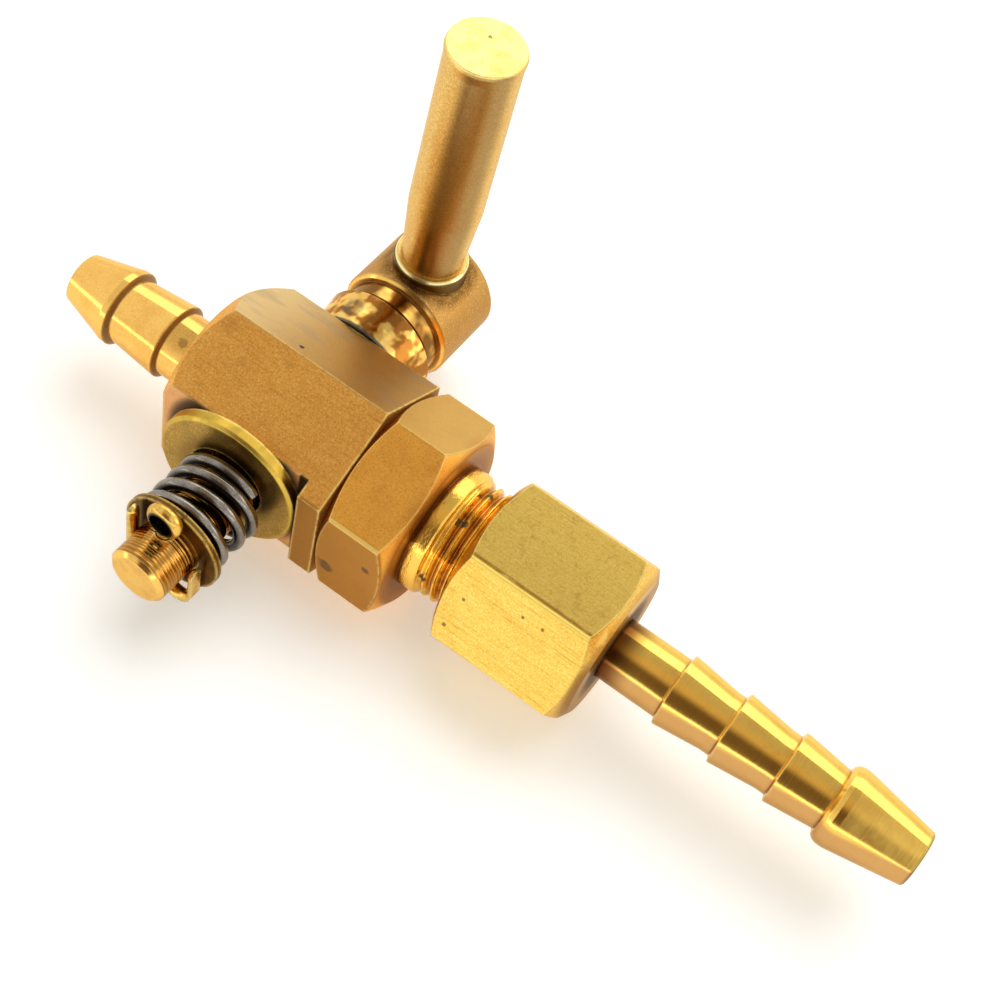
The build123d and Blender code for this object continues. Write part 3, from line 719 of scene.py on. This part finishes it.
def finish_nut(piece):
    """Scratched yellow brass, mottled on the upper flat, with a painted highlight along the front ridge and a
    painted dark line beside it, a painted highlight on the end's upper corner, and an end browned by painted
    shade, most low down and round the stem.
    """
    metal = Metal("union_nut_brass", linear(248, 200, 92), 0.34, 0.1)
    metal.patina(linear(220, 174, 72), 2.4, 0.35)
    metal.grain(0.13, linear(255, 236, 150), linear(196, 148, 50), 0.55, 0.003)
    top = metal.rise(metal.out_to(NUT_TOP), NUT_HALF_WIDTH - 0.2, NUT_HALF_WIDTH - 0.06)
    scratches = metal.stretch(metal.at, 0.22, 6.0, 6.0)
    metal.lines(scratches, linear(255, 240, 164), linear(168, 114, 36), 0.6 - top * 0.4, 0.01)
    dots = metal.specks(metal.stretch(metal.at, 0.6, 1.0, 1.0), 1.7, 0.16)
    metal.tint(linear(140, 94, 34), dots * 0.2)
    metal.grain(0.16, linear(255, 238, 150), linear(150, 116, 48), top * 0.7, 0.003)
    metal.tint(linear(198, 166, 82), top * 0.75)
    metal.tint(linear(150, 116, 50), top * metal.rise(metal.noise(metal.at, 1.1, 6.0, 0.75), 0.5, 0.72) * 0.5)
    front = metal.out_to(NUT_FRONT)
    line_pieces = metal.rise(metal.noise(metal.stretch(metal.at, 0.4, 1.0, 1.0), 1.0, 3.0), 0.3, 0.5)
    # Painted dark reflection, in broken pieces, beside the ridge's highlight
    beside_ridge = metal.between(front, NUT_HALF_WIDTH - 0.4, NUT_HALF_WIDTH - 0.2, 0.1)
    metal.tint(linear(140, 90, 34), beside_ridge * top * line_pieces * 0.8)
    metal.wear_and_highlight(linear(255, 220, 122), 1.0)
    # Painted highlight along the front ridge
    ridge_highlight = metal.rise(front, NUT_HALF_WIDTH - 0.22, NUT_HALF_WIDTH - 0.1) * top
    metal.tint(linear(255, 222, 104), ridge_highlight)
    metal.metallic = metal.metallic * (1 - ridge_highlight * 0.5)
    for mark in NUT_SPECKS:
        metal.soil_and_shade(linear(84, 58, 20), metal.spot(*mark) * 0.65)
    end = metal.rise(metal.x, NUT_END_X - 0.1, NUT_END_X - 0.02)
    stem = metal.rise(metal.far_from(metal.y, metal.z), STEM_R + 2.4, STEM_R + 0.6)
    # Painted shade browning the end, darker low down
    metal.tint(linear(194, 150, 84), metal.rise(metal.x, NUT_END_X - 0.5, NUT_END_X - 0.05) * 0.7)
    low_end = metal.rise(metal.x, NUT_END_X - 0.7, NUT_END_X - 0.2) * metal.rise(metal.z, 4.6, 2.8)
    metal.tint(linear(140, 94, 48), low_end * 0.75)
    # Painted highlight on the end's upper front corner
    corner = metal.spot(*NUT_CORNER_HIGHLIGHT) * metal.rise(metal.x, NUT_END_X - 0.6, NUT_END_X - 0.4)
    metal.tint(linear(255, 238, 156), corner * 0.9)
    # Painted shade round the stem
    metal.soil_and_shade(linear(70, 44, 18), end * stem * 0.85)
    metal.close(piece)


def finish_hose_tail(piece):
    """Polished and turned brass, darker near the nut, with painted shade low on the front and at the tip."""
    metal = Metal("hose_tail_polished_brass", linear(250, 204, 98), 0.16, 0.1)
    metal.patina(linear(222, 164, 70), 2.2, 0.35)
    rings = metal.vector(metal.x * 7.0, 0.0, 0.0)
    metal.lines(rings, linear(255, 232, 150), linear(190, 130, 50), 0.2, 0.004)
    metal.raise_by(metal.noise(metal.at, 0.8, 2.0) * 0.008)
    # Painted shade low on the front side, which faces the shaded paper
    low_front = metal.rise(metal.y, -0.8, -1.6) * metal.rise(metal.z, 1.5, 1.0)
    metal.tint(linear(192, 142, 92), low_front * 0.8)
    metal.tint(linear(92, 42, 16), metal.rise(metal.x, NUT_END_X + 2.6, NUT_END_X + 0.4) * 0.92)
    metal.wear_and_highlight(linear(255, 240, 170), 0.5)
    metal.corner_shade(linear(70, 42, 14), 0.8, 0.5)
    # Painted shade at the tip's end round the bore
    metal.soil_and_shade(linear(60, 48, 30), metal.rise(metal.x, TIP_X - 0.3, TIP_X - 0.05) * 0.6)
    metal.close(piece)


def make_floor(lowest):
    """White paper at the tap's lowest point; camera and glossy rays see it brighter, with warm shade.

    Far from the tap the camera sees plain white, so that low views show no horizon.
    """
    mesh = bpy.data.meshes.new("floor")
    signs = ((-1, -1), (1, -1), (1, 1), (-1, 1))
    mesh.from_pydata([(x * PAPER_HALF, y * PAPER_HALF, lowest) for x, y in signs], [], [(0, 1, 2, 3)])
    floor = bpy.data.objects.new("floor", mesh)
    bpy.context.scene.collection.objects.link(floor)
    material = bpy.data.materials.new("white_paper")
    material.use_nodes = True
    graph = Graph(material.node_tree)
    camera = graph.node("LightPath", output="Is Camera Ray")
    seen = graph.larger(camera, graph.node("LightPath", output="Is Glossy Ray"))
    glow = graph.mix(BLACK, PAPER_GLOW, seen)
    across, along, _ = graph.axes(graph.node("TexCoord", output="Object"))
    far = graph.rise(across * across + along * along, *PAPER_FADE)
    shader = graph.node(
        "BsdfPrincipled",
        None,
        {
            "Base Color": PAPER,
            "Roughness": 1.0,
            "Specular IOR Level": 0.0,
            "Emission Color": graph.mix(glow, WHITE, far * camera),
            "Emission Strength": 1.0,
        },
    )
    graph.node("OutputMaterial", None, {"Surface": shader})
    mesh.materials.append(material)


def light_room():
    """White tent for the metal to show: grey overhead, a bright window behind, a tall dark viewer in front.

    The floor is lit by the plain tent and by a soft lamp that stands in the window's direction.
    """
    world = bpy.data.worlds.new("white_tent")
    bpy.context.scene.world = world
    world.use_nodes = True
    graph = Graph(world.node_tree)
    direction = graph.node("TexCoord", output="Generated")
    side, depth, height = graph.axes(direction)

    def towards(facing):
        """Cosine of the angle between a ray and a facing."""
        unit = Vector(facing).normalized()
        return graph.node("VectorMath", {"operation": "DOT_PRODUCT"}, {0: direction, 1: unit}, 1)

    overhead = graph.rise(height, 0.3, 0.85) * graph.rise(abs(side), 0.46, 0.36)
    tent = graph.mix(WHITE, OVERHEAD, overhead)
    front = graph.rise(towards(FRONT_CARD_FACING), 0.75, 0.95) * graph.rise(abs(side), 0.4, 0.3)
    tent = graph.mix(tent, FRONT_CARD, front)
    window = graph.rise(height - depth * 1.75, 0.1, -0.05) * graph.rise(height - depth * 0.4, -0.05, 0.1)
    window = window * graph.rise(abs(side + 0.1), 0.62, 0.5)
    tent = graph.mix(tent, WINDOW, window)
    tent = graph.mix(tent, SIDE_PANEL, graph.rise(towards(SIDE_PANEL_FACING), 0.955, 0.975))
    low_front = graph.rise(height, 0.15, 0.09) * graph.rise(depth, -0.2, -0.4)
    tent = graph.mix(tent, LOW_FRONT, low_front)
    above = towards(VIEWER_UP)
    tall = graph.rise(above, -0.77, -0.7) * graph.rise(above, 0.25, -0.2) * graph.rise(depth, -0.1, -0.2)
    viewer = tall * graph.rise(abs(side - 0.1), 0.4, 0.24)
    tent = graph.mix(tent, VIEWER, viewer * 0.95)
    glossy = graph.node("LightPath", output="Is Glossy Ray")
    seen = graph.larger(graph.node("LightPath", output="Is Camera Ray"), glossy)
    colour = graph.mix(WHITE, tent, glossy)
    light = graph.node("Background", None, {"Color": colour, "Strength": 0.5 + seen * 0.5})
    graph.node("OutputWorld", None, {"Surface": light})

    lamp = bpy.data.lights.new("window_lamp", "AREA")
    lamp.shape = "DISK"
    lamp.size = LAMP_SIZE
    lamp.energy = LAMP_WATTS
    stand = bpy.data.objects.new("window_lamp", lamp)
    stand.location = LAMP_AT
    stand.rotation_mode = "QUATERNION"
    stand.rotation_quaternion = (-stand.location).to_track_quat("-Z", "Y")
    stand.visible_glossy = False
    bpy.context.scene.collection.objects.link(stand)


def set_camera():
    """Camera at the photograph's place, solved from the edges of the body, the plug and the rod."""
    data = bpy.data.cameras.new("camera")
    data.sensor_fit = "HORIZONTAL"
    data.sensor_width = CAMERA_SENSOR
    data.lens = CAMERA_LENS
    data.clip_start = 0.001
    camera = bpy.data.objects.new("camera", data)
    right = Vector(CAMERA_RIGHT)
    up = Vector(CAMERA_UP)
    turn = Matrix((right, up, right.cross(up))).transposed().to_4x4()
    camera.matrix_world = Matrix.Translation(Vector(CAMERA_AT) * MM) @ turn
    bpy.context.scene.collection.objects.link(camera)
    bpy.context.scene.camera = camera


bpy.context.scene.view_settings.view_transform = "Standard"
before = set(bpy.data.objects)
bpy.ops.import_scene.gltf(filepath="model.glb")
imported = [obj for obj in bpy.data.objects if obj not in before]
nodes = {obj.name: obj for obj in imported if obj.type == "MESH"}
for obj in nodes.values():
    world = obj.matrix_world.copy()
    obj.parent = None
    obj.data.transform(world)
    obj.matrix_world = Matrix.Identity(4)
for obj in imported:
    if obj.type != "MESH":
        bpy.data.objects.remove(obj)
cad_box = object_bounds()
set_camera()
light_room()
make_floor(cad_box[0].z)
finish_body(nodes["body"])
finish_plug(nodes["plug"])
finish_handle(nodes["handle"])
finish_washer(nodes["thrust_washer"])
finish_retainer(nodes["spring_retainer"])
finish_split_pin(nodes["split_pin"])
finish_spring(make_spring())
finish_nipple(make_nipple())
finish_nut(nodes["union_nut"])
finish_hose_tail(nodes["hose_tail"])
